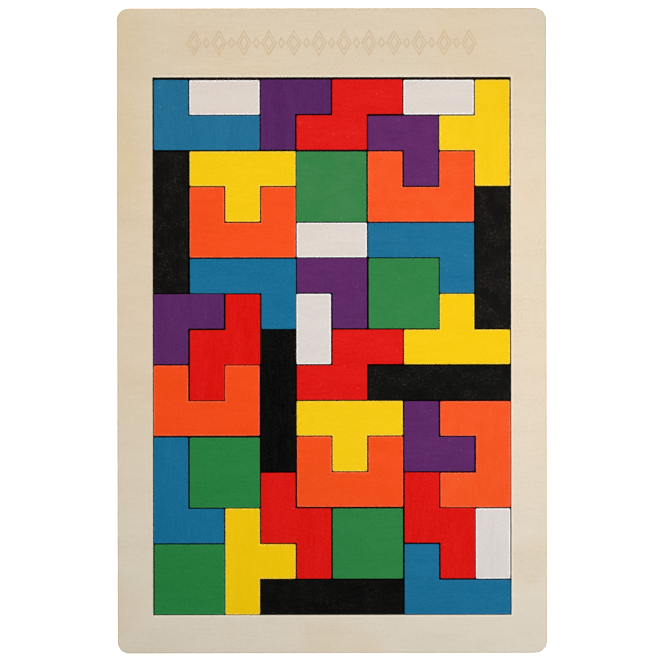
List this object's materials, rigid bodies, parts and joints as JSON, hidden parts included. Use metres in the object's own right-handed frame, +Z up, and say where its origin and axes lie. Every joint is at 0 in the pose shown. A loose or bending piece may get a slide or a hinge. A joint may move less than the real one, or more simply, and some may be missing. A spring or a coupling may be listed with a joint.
{
  "type": "wooden packing puzzle",
  "caption": "Shallow plywood tray whose rectangular recess is filled edge to edge by loose flat polyomino blocks, each shape dyed its own colour.",
  "frame": {"origin": "centre of the tray's underside, which rests on the table", "axes": "+X across the tray to the right, +Y along it towards the wide margin of the frame, +Z up out of the recess"},
  "size_m": [0.1804, 0.2708, 0.008],
  "materials": {
    "base_plywood": "bare birch plywood, lightly sanded",
    "frame_plywood": "bare birch plywood, lightly sanded",
    "blue_stain": "blue stain on plywood, matte",
    "white_stain": "white paint on plywood, matte",
    "purple_stain": "purple stain on plywood, matte",
    "red_stain": "red paint on plywood, matte",
    "yellow_stain": "yellow paint on plywood, matte",
    "black_stain": "black stain on plywood, matte",
    "green_stain": "green stain on plywood, matte",
    "orange_stain": "orange paint on plywood, matte"
  },
  "bodies": {
    "root": {"base_board": "base_plywood", "tray_frame": "frame_plywood", "blue_l_1": "blue_stain", "blue_l_2": "blue_stain", "blue_l_3": "blue_stain", "blue_l_4": "blue_stain", "blue_l_5": "blue_stain", "white_domino_1": "white_stain", "white_domino_2": "white_stain", "white_domino_3": "white_stain", "white_domino_4": "white_stain", "white_domino_5": "white_stain", "purple_corner_1": "purple_stain", "purple_corner_2": "purple_stain", "purple_corner_3": "purple_stain", "purple_corner_4": "purple_stain", "purple_corner_5": "purple_stain", "red_step_1": "red_stain", "red_step_2": "red_stain", "red_step_3": "red_stain", "red_step_4": "red_stain", "red_step_5": "red_stain", "yellow_t_1": "yellow_stain", "yellow_t_2": "yellow_stain", "yellow_t_3": "yellow_stain", "yellow_t_4": "yellow_stain", "yellow_t_5": "yellow_stain", "black_bar_1": "black_stain", "black_bar_2": "black_stain", "black_bar_3": "black_stain", "black_bar_4": "black_stain", "black_bar_5": "black_stain", "green_square_1": "green_stain", "green_square_2": "green_stain", "green_square_3": "green_stain", "green_square_4": "green_stain", "green_square_5": "green_stain", "orange_u_1": "orange_stain", "orange_u_2": "orange_stain", "orange_u_3": "orange_stain", "orange_u_4": "orange_stain", "orange_u_5": "orange_stain"}
  },
  "joints": []
}
